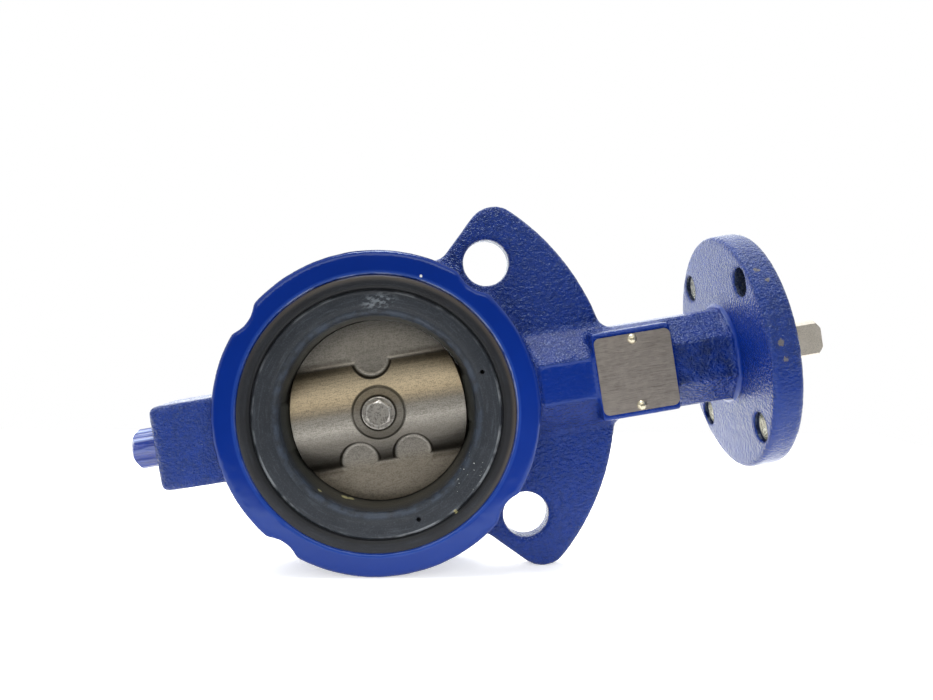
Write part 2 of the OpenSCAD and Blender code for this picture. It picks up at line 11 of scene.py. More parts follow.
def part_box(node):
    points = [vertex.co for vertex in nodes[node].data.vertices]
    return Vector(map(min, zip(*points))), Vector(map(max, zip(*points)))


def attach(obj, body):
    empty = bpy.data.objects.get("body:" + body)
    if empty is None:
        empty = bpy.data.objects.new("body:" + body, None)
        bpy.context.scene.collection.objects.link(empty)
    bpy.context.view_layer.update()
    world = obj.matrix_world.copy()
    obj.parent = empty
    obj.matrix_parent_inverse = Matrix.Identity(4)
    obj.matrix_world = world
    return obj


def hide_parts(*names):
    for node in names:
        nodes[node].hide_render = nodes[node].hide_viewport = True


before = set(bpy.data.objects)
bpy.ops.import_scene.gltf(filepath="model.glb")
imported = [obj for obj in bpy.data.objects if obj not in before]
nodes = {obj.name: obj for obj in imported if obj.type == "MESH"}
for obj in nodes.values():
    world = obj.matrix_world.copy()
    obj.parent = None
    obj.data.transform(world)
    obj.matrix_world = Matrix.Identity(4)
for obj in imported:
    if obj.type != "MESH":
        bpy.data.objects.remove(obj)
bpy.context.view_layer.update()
MM = 0.001

# ---- Sizes: from the frame where a box gives them, and named here where none does ----

body_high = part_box("body")[1]
plate_low, plate_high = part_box("nameplate")

FLANGE_TOP_X = body_high.x
FLANGE_T = 12 * MM
FLANGE_X = FLANGE_TOP_X - FLANGE_T
FLANGE_HOLE_R = 5.55 * MM
FLANGE_HOLE_YZ = 29.19 * MM
BODY_HALF = 21.5 * MM
RING_R = 65.8 * MM
NECK_HALF = 19.2 * MM
POCKET_R = 55.6 * MM
STEM_BORE_R = 14 * MM
PAD_Y = plate_high.y
PIP_ANGLES = (13, -78)
PIP_CIRCLE_R = 45.1 * MM
PIP_R = 0.9 * MM
PIP_FLOOR = 18 * MM
WEB_HALF = 4.5 * MM
SCALLOP_R = 8.4 * MM
SCALLOP_C = 22.2 * MM
SCALLOP_LOW_ANGLE = math.radians(60)
HUB_PAD_R = 11.1 * MM
SCREW_FLANGE_R = 6.7 * MM


# ---- Short calls for scenes, meshes and shader nodes ----

def placed(name, data):
    """A new object that holds the data, in the scene."""
    thing = bpy.data.objects.new(name, data)
    bpy.context.scene.collection.objects.link(thing)
    return thing


def applied(piece):
    """Bakes a piece's modifiers into its mesh."""
    bpy.context.view_layer.update()
    shape = piece.evaluated_get(bpy.context.evaluated_depsgraph_get())
    mesh = bpy.data.meshes.new_from_object(shape)
    piece.modifiers.clear()
    piece.data = mesh


def vectors(mesh, what):
    """The place ("co") or the normal ("normal") of every vertex, one in each row."""
    values = np.empty(3 * len(mesh.vertices))
    mesh.vertices.foreach_get(what, values)
    return values.reshape(-1, 3)


def shade_smooth(mesh):
    """Shades a mesh's faces as one smooth surface."""
    for polygon in mesh.polygons:
        polygon.use_smooth = True


def emptied(owner):
    """The node tree of a material or a world, with everything taken out of it."""
    owner.use_nodes = True
    owner.node_tree.nodes.clear()
    return owner.node_tree


class Graph:
    """Short calls for making and joining shader nodes in one tree."""

    def __init__(self, tree):
        self.tree = tree

    def node(self, kind, inputs=None, **settings):
        """A new node, its settings set, and its inputs given values or joined to sockets."""
        n = self.tree.nodes.new("ShaderNode" + kind)
        for name, value in settings.items():
            setattr(n, name, value)
        for name, value in (inputs or {}).items():
            self.put(n.inputs[name], value)
        return n

    def put(self, socket, value):
        """Joins an input to a socket, or sets it where the value is plain."""
        if isinstance(value, bpy.types.NodeSocket):
            self.tree.links.new(value, socket)
        else:
            socket.default_value = value

    def math(self, operation, *values):
        """The result of one sum on plain values or sockets."""
        n = self.node("Math", operation=operation)
        for i, v in enumerate(values):
            self.put(n.inputs[i], v)
        return n.outputs[0]

    def add(self, *values):
        """All the values added up."""
        total = values[0]
        for v in values[1:]:
            total = self.math("ADD", total, v)
        return total

    def times(self, *values):
        """All the values multiplied."""
        product = values[0]
        for v in values[1:]:
            product = self.math("MULTIPLY", product, v)
        return product

    def less(self, value):
        """One less the value, so that a share turns into what is left of it."""
        return self.math("SUBTRACT", 1.0, value)

    def step(self, value, low, high, to_low=0.0, to_high=1.0):
        """A smooth step: to_low where the value is at low, and to_high where it is at high."""
        n = self.node("MapRange", interpolation_type="SMOOTHSTEP")
        for name, v in (("Value", value), ("From Min", low), ("From Max", high),
                        ("To Min", to_low), ("To Max", to_high)):
            self.put(n.inputs[name], v)
        return n.outputs["Result"]

    def band(self, value, low, high, soft):
        """1 where the value lies between low and high, and 0 past soft outside them."""
        return self.times(self.step(value, low - soft, low), self.step(value, high + soft, high))

    def parts(self, vector):
        """A vector's x, y and z."""
        return self.node("SeparateXYZ", {0: vector}).outputs

    def length(self, *parts):
        """The length of the vector with these parts."""
        return self.math("SQRT", self.add(*(self.times(part, part) for part in parts)))

    def distance(self, place, centre):
        """How far the place is from a fixed point."""
        n = self.node("VectorMath", {0: place, 1: tuple(centre)}, operation="DISTANCE")
        return n.outputs["Value"]

    def dot(self, vector, fixed):
        """The dot product with a fixed vector."""
        n = self.node("VectorMath", {0: vector, 1: tuple(fixed)}, operation="DOT_PRODUCT")
        return n.outputs["Value"]

    def stretched(self, place, x, y, z):
        """The place with each axis scaled, to draw a noise out along one of them."""
        return self.node("VectorMath", {0: place, 1: (x, y, z)}, operation="MULTIPLY").outputs[0]

    def noise(self, place, scale, detail=2.0, roughness=0.5, distortion=0.0):
        """Noise of about 0 to 1 with scale lumps in each metre."""
        return self.node("TexNoise", {"Vector": place, "Scale": scale, "Detail": detail,
                                      "Roughness": roughness, "Distortion": distortion}).outputs[0]

    def mix(self, share, a, b):
        """The colour a where the share is 0, and b where it is 1."""
        n = self.node("Mix", data_type="RGBA")
        self.put(n.inputs["Factor"], share)
        colours = [s for s in n.inputs if s.type == "RGBA"]
        self.put(colours[0], a)
        self.put(colours[1], b)
        return next(s for s in n.outputs if s.type == "RGBA")

    def bump(self, height, depth):
        """A normal for a height of 0 to 1, which stands for this depth in metres."""
        return self.node("Bump", {"Height": height, "Distance": depth, "Strength": 1.0}).outputs[0]

    def finish(self, **inputs):
        """Closes a material with a principled shader."""
        shader = self.node("BsdfPrincipled", inputs)
        self.node("OutputMaterial", {"Surface": shader.outputs[0]})


def new_material(name):
    """An empty material, its graph, and the surface's place in the object's frame, in metres."""
    material = bpy.data.materials.new(name)
    g = Graph(emptied(material))
    return material, g, g.node("TexCoord").outputs["Object"]


def rgb(r, g, b):
    """A linear colour from sRGB values of 0 to 255."""
    parts = [c / 255 for c in (r, g, b)]
    return tuple(c / 12.92 if c <= 0.04045 else ((c + 0.055) / 1.055) ** 2.4 for c in parts) + (1,)


def shaded(colour, share):
    """A linear colour with its light cut to this share."""
    return tuple(share * c for c in colour[:3]) + (1,)


# ---- Camera and stage ----

REST_TILT = math.radians(9.9)
LEVEL = Vector((math.sin(REST_TILT), 0, math.cos(REST_TILT)))

CAMERA_PLACE = Vector((22.3, -346.97, 33.11)) * MM
CAMERA_YAW, CAMERA_PITCH, CAMERA_ROLL = (math.radians(a) for a in (2.956, -2.331, -9.128))
LENS = 31.52

FLOOR_HALF = 0.42
FLOOR_FRONT = 0.27
FLOOR_FADE = 0.07
FLOOR_SHIFT = 0.04
FLOOR_WHITE = (0.75, 0.75, 0.75, 1)
FLOOR_LIFT = 0.5

STUDIO_WHITE = (0.94, 0.98, 1, 1)
WALL_BEFORE, WALL_BEHIND = 0.75, 1.85
CARD_DEPTH = 0.93
GLOSS_LIGHT = 0.95

# Each lamp's name, place, target, width, height, power, colour, and whether reflections show it
LAMPS = (
    ("overhead", (0.08, -0.04, 0.6), (0.03, 0, 0), 0.3, 0.22, 2.6, (1, 1, 1), True),
    ("front", (-0.02, -0.6, 0.3), (0, 0, 0), 0.7, 0.22, 1.2, (1, 0.95, 0.86), True),
    ("low_fill", (0.0, -0.14, -0.045), (0, 0, -0.05), 0.3, 0.04, 0.2, (1, 1, 1), False),
    ("back", (0.02, 0.42, 0.34), (0, 0.25, -0.06), 0.5, 0.25, 4.2, (1, 1, 1), False),
)


def make_camera():
    """A camera that looks along the pipe, level with the floor and so rolled in this frame."""
    forward = Vector((math.sin(CAMERA_YAW) * math.cos(CAMERA_PITCH),
                      math.cos(CAMERA_YAW) * math.cos(CAMERA_PITCH), math.sin(CAMERA_PITCH)))
    level = Vector((math.cos(CAMERA_YAW), -math.sin(CAMERA_YAW), 0))
    over = level.cross(forward)
    right = level * math.cos(CAMERA_ROLL) + over * math.sin(CAMERA_ROLL)
    up = over * math.cos(CAMERA_ROLL) - level * math.sin(CAMERA_ROLL)
    data = bpy.data.cameras.new("camera")
    data.sensor_width = 36
    data.sensor_fit = "HORIZONTAL"
    data.lens = LENS
    data.clip_start = 0.01
    camera = placed("camera", data)
    turn = Matrix((right, up, -forward)).transposed().to_4x4()
    camera.matrix_world = Matrix.Translation(CAMERA_PLACE) @ turn
    bpy.context.scene.camera = camera


def seen_rays(g):
    """1 for rays from the camera and for those that metal and glass send on, 0 for the rest."""
    path = g.node("LightPath").outputs
    seen = g.math("MAXIMUM", path["Is Camera Ray"], path["Is Glossy Ray"])
    return g.math("MAXIMUM", seen, path["Is Transmission Ray"])


def make_floor():
    """A small white floor under the ring and the ear's lower corner, which fades at its front."""
    along = Vector((math.cos(REST_TILT), 0, -math.sin(REST_TILT)))
    middle = -LEVEL * RING_R + along * FLOOR_SHIFT
    across = Vector((0, 1, 0))
    corners = [middle + along * x + across * y
               for x, y in ((-FLOOR_HALF, -FLOOR_FRONT), (FLOOR_HALF, -FLOOR_FRONT),
                            (FLOOR_HALF, FLOOR_HALF), (-FLOOR_HALF, FLOOR_HALF))]
    mesh = bpy.data.meshes.new("floor")
    mesh.from_pydata([tuple(c) for c in corners], [], [(0, 1, 2, 3)])
    floor = placed("floor", mesh)

    material, g, p = new_material("floor")
    white = g.node("BsdfDiffuse", {"Color": FLOOR_WHITE}).outputs[0]
    strength = g.times(seen_rays(g), FLOOR_LIFT)
    lift = g.node("Emission", {"Color": (1, 1, 1, 1), "Strength": strength}).outputs[0]
    lit = g.node("AddShader", {0: white, 1: lift}).outputs[0]
    clear = g.node("BsdfTransparent").outputs[0]
    below = g.node("NewGeometry").outputs["Backfacing"]
    gone = g.math("MAXIMUM", below, g.step(g.parts(p)[1], -FLOOR_FADE, -FLOOR_FRONT))
    surface = g.node("MixShader", {0: gone, 1: lit, 2: clear}).outputs[0]
    g.node("OutputMaterial", {"Surface": surface})
    mesh.materials.append(material)


def make_world():
    """A white studio whose camera side is a dark card, up to the height of the front lamp."""
    world = bpy.data.worlds.new("studio")
    bpy.context.scene.world = world
    g = Graph(emptied(world))
    direction = g.node("TexCoord").outputs["Generated"]
    height = g.dot(direction, LEVEL)
    y = g.parts(direction)[1]
    facing = g.step(y, -0.45, -0.75)
    card = g.times(facing, g.step(height, -0.4, -0.25), g.step(height, 0.55, 0.25))
    wall = g.step(y, 0.1, 0.5, WALL_BEFORE, WALL_BEHIND)
    light = g.times(wall, g.less(g.times(card, CARD_DEPTH)))
    path = g.node("LightPath").outputs
    through = g.math("MAXIMUM", path["Is Camera Ray"], path["Is Transmission Ray"])
    open_side = g.times(path["Is Glossy Ray"], g.less(card))
    light = g.math("MAXIMUM", light, g.times(open_side, GLOSS_LIGHT))
    studio = g.node("Background", {"Color": STUDIO_WHITE, "Strength": light}).outputs[0]
    white = g.node("Background", {"Color": (1, 1, 1, 1), "Strength": 1.0}).outputs[0]
    sky = g.node("MixShader", {0: through, 1: studio, 2: white}).outputs[0]
    g.node("OutputWorld", {"Surface": sky})


def area_light(name, place, target, width, height, power, colour, in_gloss):
    """A rectangular lamp at a place, aimed at its target."""
    data = bpy.data.lights.new(name, "AREA")
    data.color = colour
    data.shape = "RECTANGLE"
    data.size, data.size_y = width, height
    data.energy = power
    lamp = placed(name, data)
    lamp.location = place
    lamp.rotation_mode = "QUATERNION"
    lamp.rotation_quaternion = (Vector(target) - Vector(place)).to_track_quat("-Z", "Y")
    lamp.visible_camera = False
    lamp.visible_glossy = in_gloss


# ---- The casting: the CAD body with the soft edges and uneven skin of a painted casting ----

CAST_VOXEL = 0.9 * MM
CAST_TRIANGLES = 186000
CAST_SMOOTHING = 9
TURNED_SMOOTHING = 2
CAST_SINK = 0.06 * MM
# The skin's lumps: how high they are, how far across, and where in the noise they are taken
CAST_LUMPS = ((0.07 * MM, 9 * MM, 3.1), (0.05 * MM, 3.4 * MM, 8.6))


def turned_part(points):
    """Whether each point lies on a turned or sealed face, and not on the cast skin."""
    x, y, z = points.T
    radius = np.hypot(x, z)
    about_stem = np.hypot(y, z)
    face = (np.abs(y) > BODY_HALF - 0.5 * MM) & (radius < RING_R - 1 * MM)
    pocket = (radius < POCKET_R + 0.7 * MM) & (np.abs(y) < BODY_HALF + 1 * MM)
    bore = (about_stem < STEM_BORE_R) & (np.abs(x) > RING_R)
    top = x > FLANGE_TOP_X - 0.4 * MM
    beside_plate = (x > plate_low.x - 1 * MM) & (x < plate_high.x + 1 * MM)
    pad = (y < PAD_Y + 0.6 * MM) & beside_plate
    return face | pocket | bore | top | pad


def noise_at(points, size, seed):
    """Smooth noise of -1 to 1 whose lumps are about size metres across."""
    shift = Vector((seed, 2.7 * seed, -1.3 * seed))
    return np.array([noise.noise(Vector(p) / size + shift) for p in points])


def make_casting(material):
    """The body, remeshed, with its cast skin soft and uneven and its turned faces kept."""
    source = nodes["body"]
    shape = bmesh.new()
    shape.from_mesh(source.data)
    bmesh.ops.remove_doubles(shape, verts=shape.verts, dist=1e-6)
    mesh = bpy.data.meshes.new("body_casting")
    shape.to_mesh(mesh)
    shape.free()
    piece = placed("body_casting", mesh)

    remesh = piece.modifiers.new("skin", "REMESH")
    remesh.mode = "VOXEL"
    remesh.voxel_size = CAST_VOXEL
    applied(piece)

    turned = turned_part(vectors(piece.data, "co"))
    for name, chosen, rounds in (("cast", ~turned, CAST_SMOOTHING),
                                 ("turned", turned, TURNED_SMOOTHING)):
        group = piece.vertex_groups.new(name=name)
        group.add([int(i) for i in np.flatnonzero(chosen)], 1.0, "REPLACE")
        soften = piece.modifiers.new("soften_" + name, "SMOOTH")
        soften.factor = 0.5
        soften.iterations = rounds
        soften.vertex_group = name
    applied(piece)

    mesh = piece.data
    points = vectors(mesh, "co")
    lumps = sum(height * noise_at(points, size, seed) for height, size, seed in CAST_LUMPS)
    out = (lumps - CAST_SINK) * ~turned_part(points)
    points = points + vectors(mesh, "normal") * out[:, None]
    mesh.vertices.foreach_set("co", points.ravel())

    thin = piece.modifiers.new("thin", "DECIMATE")
    thin.ratio = CAST_TRIANGLES / (2 * len(mesh.polygons))
    applied(piece)
    piece.vertex_groups.clear()
    shade_smooth(piece.data)
    piece.data.materials.clear()
    piece.data.materials.append(material)
    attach(piece, "housing")
    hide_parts("body")


# ---- The seat: a turned rubber form, flat round the stem ----

SEAT_TURNS = 288
LAND_X = 35.9 * MM
LAND_R = 14 * MM
# The section's own sizes are in millimetres: where the lands end, and the radius of the lip
LAND_REACH = 45
LIP_R = 37.92


def arc(centre, radii, start, end, count):
    """Points on part of an ellipse, its angles in degrees."""
    angles = np.radians(np.linspace(start, end, count))
    return [(centre[0] + radii[0] * math.cos(a), centre[1] + radii[1] * math.sin(a))
            for a in angles]


def seat_profile():
    """Half of the seat's section: radius and distance from the middle plane, in millimetres."""
    outside = [(55.8, 17.0), (55.8, 20.9)]
    bead = arc((52.9, 21.5), (2.75, 1.45), -10, 188, 15)
    step = [(50.0, 21.2), (49.7, 21.5), (49.3, 22.1), (48.9, 22.35)]
    dish = [(47.0, 22.1), (44.5, 21.6), (42.6, 21.1)]
    mouth = arc((42.3, 18.2), (2.8, 2.75), 85, 180, 12)
    bore = [(39.2, 14.0), (38.5, 10.0), (38.1, 6.0), (38.0, 1.4), (LIP_R, 0.9), (LIP_R, 0.0)]
    return outside + bead + step + dish + mouth + bore


def cut_pips(piece):
    """Sinks the round moulding holes into the front of the rubber."""
    shape = bmesh.new()
    depth = BODY_HALF + 2 * MM - PIP_FLOOR
    y = -PIP_FLOOR - depth / 2
    for degrees in PIP_ANGLES:
        a = math.radians(degrees)
        middle = Vector((PIP_CIRCLE_R * math.cos(a), y, PIP_CIRCLE_R * math.sin(a)))
        turn = Matrix.Rotation(math.pi / 2, 4, "X")
        bmesh.ops.create_cone(shape, cap_ends=True, segments=20, radius1=PIP_R, radius2=PIP_R,
                              depth=depth, matrix=Matrix.Translation(middle) @ turn)
    mesh = bpy.data.meshes.new("pips")
    shape.to_mesh(mesh)
    shape.free()
    cutter = placed("pips", mesh)
    cut = piece.modifiers.new("pips", "BOOLEAN")
    cut.operation = "DIFFERENCE"
    cut.solver = "EXACT"
    cut.object = cutter
    applied(piece)
    bpy.data.objects.remove(cutter)


def make_seat(material):
    """The rubber seat, turned about the pipe from its section and held flat round the stem."""
    front = seat_profile()
    section = front + [(r, -h) for r, h in front[-2::-1]]
    rows = len(section)
    points = []
    for i in range(SEAT_TURNS):
        turn = 2 * math.pi * i / SEAT_TURNS
        for r, h in section:
            x, y, z = r * MM * math.cos(turn), -h * MM, r * MM * math.sin(turn)
            if math.hypot(y, z) < LAND_R and r < LAND_REACH:
                x = math.copysign(min(abs(x), LAND_X), x)
            points.append((x, y, z))
    faces = []
    for i in range(SEAT_TURNS):
        here, there = i * rows, (i + 1) % SEAT_TURNS * rows
        for j in range(rows):
            k = (j + 1) % rows
            faces.append((here + j, there + j, there + k, here + k))
    mesh = bpy.data.meshes.new("seat_rubber")
    mesh.from_pydata(points, [], faces)
    mesh.validate()
    mesh.update()
    shade_smooth(mesh)
    mesh.materials.append(material)
    piece = placed("seat_rubber", mesh)
    shape = bmesh.new()
    shape.from_mesh(mesh)
    bmesh.ops.recalc_face_normals(shape, faces=shape.faces)
    shape.to_mesh(mesh)
    shape.free()
    cut_pips(piece)
    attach(piece, "housing")
    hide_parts("seat")


# ---- Marks of use: each one's place and size, in millimetres ----

FACE_CHIPS = (((25.9, -21.5, 51.8), 0.7), ((-45.8, -21.5, -43.2), 0.5), ((-49, -21.5, -41.4), 0.5))
RIM_CHIPS = (((153.8, -37.5, 33.1), 1.5), ((156, -41, 28.8), 1.1), ((154, -49.8, 4.8), 1.6),
             ((154.8, -50, -1.8), 1.3))
SMUDGE = (7.5, -21.9, 44.5)
GRIT = (30, -20, -28)
DEBRIS = (((-19.6, -8, -32.8), 1.9), ((-17.4, -7, -34.2), 1.5), ((-28.2, -15, -26.9), 1.2),
          ((24.5, -22, -43.3), 1.0))


def in_metres(place):
    """A place given in millimetres, in metres."""
    return [c * MM for c in place]


def spot(g, p, place, size, ragged=0.5):
    """A small mark with a ragged edge: its place and its size are in millimetres."""
    edge = g.times(g.noise(p, 750, 4, 0.7), 2 * ragged * size * MM)
    away = g.add(g.distance(p, in_metres(place)), edge)
    return g.step(away, (1 + ragged) * size * MM, (0.6 + ragged) * size * MM)


# ---- Enamel on the casting and on its plug ----

# Painted light among these: highlights on the lip, top faces and pocket edge; shade in bolt holes
BLUE_DEEP, BLUE = rgb(6, 34, 108), rgb(10, 41, 124)
BLUE_MOTTLE, BLUE_SHADOW, THROAT_SHADE = rgb(8, 30, 88), rgb(3, 15, 58), rgb(5, 9, 30)
LIP_HIGHLIGHT, TOP_GLINT, EDGE_WEAR_AND_GLINT = rgb(52, 84, 160), rgb(140, 156, 206), rgb(150, 160, 190)
CHIP_WHITE, CHIP_BROWN, BARE_METAL = rgb(206, 206, 202), rgb(112, 104, 88), rgb(226, 224, 216)
# The last of these, the runs' pale, is a painted highlight on the plug
RUN_DEEP, RUN_BLUE, STREAK_HIGHLIGHT = rgb(16, 42, 124), rgb(36, 60, 148), rgb(142, 160, 214)


def smooth_enamel(g, x, across, z, on_face, radius):
    """Shares of smooth enamel, of the neck's flats past the plate, and of the flange's side."""
    ring_face = g.times(on_face, g.step(radius, RING_R + 0.2 * MM, RING_R - 0.5 * MM))
    in_neck = g.times(g.step(x, RING_R, RING_R + 2 * MM),
                      g.step(x, FLANGE_X - 2 * MM, FLANGE_X - 5 * MM))
    neck_flat = g.times(in_neck, g.step(across, NECK_HALF - 0.9 * MM, NECK_HALF - 0.4 * MM))
    past_plate = g.step(x, plate_high.x, plate_high.x + 2 * MM)
    neck_smooth = g.times(neck_flat, g.math("SUBTRACT", 0.8, g.times(past_plate, 0.6)))
    flange_side = g.times(g.step(x, FLANGE_X + 0.5 * MM, FLANGE_X - 0.5 * MM),
                          g.step(x, FLANGE_X - 2.5 * MM, FLANGE_X - 1 * MM))
    rim_low = g.times(g.step(x, FLANGE_X, FLANGE_X + 1 * MM), g.step(z, 2 * MM, -12 * MM))
    smooth = g.math("MAXIMUM", ring_face, neck_smooth)
    smooth = g.math("MAXIMUM", smooth, g.times(flange_side, 0.9))
    smooth = g.math("MAXIMUM", smooth, g.times(rim_low, 0.75))
    return smooth, g.times(neck_flat, past_plate), flange_side


def enamel():
    """Deep blue enamel: smooth on the turned faces and orange-peel on the cast ones."""
    material, g, p = new_material("blue_enamel")
    x, y, z = g.parts(p)
    across = g.math("ABSOLUTE", y)
    radius = g.length(x, z)
    on_face = g.step(across, BODY_HALF - 1.6 * MM, BODY_HALF - 0.9 * MM)
    smooth, far_neck, flange_side = smooth_enamel(g, x, across, z, on_face, radius)
    rough = g.less(smooth)

    peel = g.noise(g.stretched(p, 0.8, 1, 1), 820, 2, 0.5, 0.3)
    grain = g.noise(p, 1900)
    wave = g.noise(p, 110)
    height = g.add(g.times(peel, rough), g.times(grain, rough, 0.34), g.times(wave, 0.25))
    streaks = g.times(g.noise(g.stretched(p, 1, 1, 0.07), 2600), flange_side, 0.035)
    normal = g.bump(g.add(height, streaks), 1.35 * MM)

    colour = g.mix(g.noise(p, 45), BLUE_DEEP, BLUE)
    mottle = g.times(g.step(g.noise(p, 380, 3), 0.42, 0.62), rough)
    colour = g.mix(g.times(mottle, 0.4), colour, BLUE_MOTTLE)
    shadow = g.times(far_neck, g.step(g.noise(p, 150), 0.2, 0.75))
    colour = g.mix(g.times(shadow, 0.8), colour, BLUE_SHADOW)
    # Painted glints: pale specks on the upward-facing cast skin, where the light from above
    # catches it
    upward = g.dot(g.node("NewGeometry").outputs["Normal"], LEVEL)
    top_glints = g.times(g.step(upward, 0.25, 0.6), rough, g.step(g.noise(p, 1250), 0.55, 0.66))
    colour = g.mix(g.times(top_glints, 0.28), colour, TOP_GLINT)
    # Painted highlight: lighter blue along the pocket's lip on the ring face, where the edge
    # catches light
    lip_highlight = g.times(on_face, g.step(radius, POCKET_R + 2.3 * MM, POCKET_R + 1.5 * MM))
    colour = g.mix(g.times(lip_highlight, 0.3), colour, LIP_HIGHLIGHT)
    # Pale patches at the pocket's edge: partly edge wear, partly a painted highlight, stronger up
    # right
    edge = g.times(g.step(across, BODY_HALF - 0.7 * MM, BODY_HALF - 0.3 * MM),
                   g.step(radius, POCKET_R + 1.1 * MM, POCKET_R + 0.7 * MM))
    patches = g.step(g.noise(p, 70, 3), 0.4, 0.6)
    upper_right = g.step(g.add(x, g.times(z, 2)), -20 * MM, 90 * MM, 0.1, 0.55)
    colour = g.mix(g.times(edge, patches, upper_right), colour, EDGE_WEAR_AND_GLINT)
    for place, size in FACE_CHIPS:
        colour = g.mix(spot(g, p, place, size), colour, CHIP_WHITE)
    for place, size in RIM_CHIPS:
        colour = g.mix(g.times(spot(g, p, place, size, 1.6), 0.75), colour, CHIP_BROWN)

    # The flange's bolt holes: painted shade at the mouth, and bare further in but for one painted
    # over
    out = [g.math("SUBTRACT", side, FLANGE_HOLE_YZ) for side in (across, g.math("ABSOLUTE", z))]
    from_hole = g.length(*out)
    bore = g.times(g.step(from_hole, FLANGE_HOLE_R + 0.5 * MM, FLANGE_HOLE_R + 0.3 * MM),
                   g.band(x, FLANGE_X + 2.6 * MM, FLANGE_TOP_X - 0.6 * MM, 0.4 * MM))
    painted = g.times(g.math("LESS_THAN", y, 0.0), g.math("GREATER_THAN", z, 0.0))
    bare = g.times(bore, g.less(painted))
    # Painted shade: near-black navy in the mouth of each bolt hole, where little light reaches
    throat_shade = g.times(g.step(from_hole, FLANGE_HOLE_R + 0.5 * MM, FLANGE_HOLE_R + 0.2 * MM),
                     g.step(x, FLANGE_X + 0.1 * MM, FLANGE_X + 0.7 * MM))
    colour = g.mix(g.times(throat_shade, 0.9), colour, THROAT_SHADE)
    g.finish(**{"Base Color": g.mix(bare, colour, BARE_METAL), "Metallic": bare,
                "Roughness": 0.13, "Normal": normal, "IOR": 1.43,
                "Specular Tint": (0.66, 0.85, 1, 1), "Coat Weight": 0.08, "Coat Roughness": 0.03})
    return material


def plug_enamel():
    """The same blue, laid on thick in runs, with painted highlight streaks along the plug's upper
    half.
    """
    material, g, p = new_material("plug_enamel")
    runs = g.noise(g.stretched(p, 0.1, 1, 1), 330, 1)
    colour = g.mix(g.noise(p, 130, 3), RUN_DEEP, RUN_BLUE)
    # Painted highlight: pale streaks along the runs, strong on the plug's upper half and faint
    # below
    streak_highlight = g.times(g.step(runs, 0.5, 0.66), g.step(g.parts(p)[2], -1 * MM, 2 * MM, 0.1, 0.75))
    colour = g.mix(streak_highlight, colour, STREAK_HIGHLIGHT)
    normal = g.bump(g.add(runs, g.times(g.noise(p, 700), 0.1)), 3.2 * MM)
    g.finish(**{"Base Color": colour, "Roughness": 0.12, "Normal": normal, "IOR": 1.5,
                "Coat Weight": 0.4, "Coat Roughness": 0.03})
    return material


# ---- Rubber of the seat ----

RUBBER_DARK, RUBBER_LIGHT = rgb(24, 27, 32), rgb(42, 46, 52)
DUST, RING_DUST, BEAD_BLACK = rgb(60, 65, 72), rgb(64, 69, 76), rgb(24, 24, 27)
# Painted light among these: the slope's brown sheen, the groove's black shade, part of ridge pale
BORE_GREY, MOUTH_BLUE, SLOPE_SHEEN = rgb(60, 59, 52), rgb(60, 70, 86), rgb(74, 66, 58)
GROOVE_SHADE, RIDGE_WEAR_AND_GLINT, OVERSPRAY = rgb(12, 13, 15), rgb(118, 122, 126), rgb(22, 42, 100)
SMUDGE_GREY, GRIT_WHITE, DEBRIS_TAN = rgb(112, 118, 124), rgb(190, 192, 190), rgb(168, 162, 118)


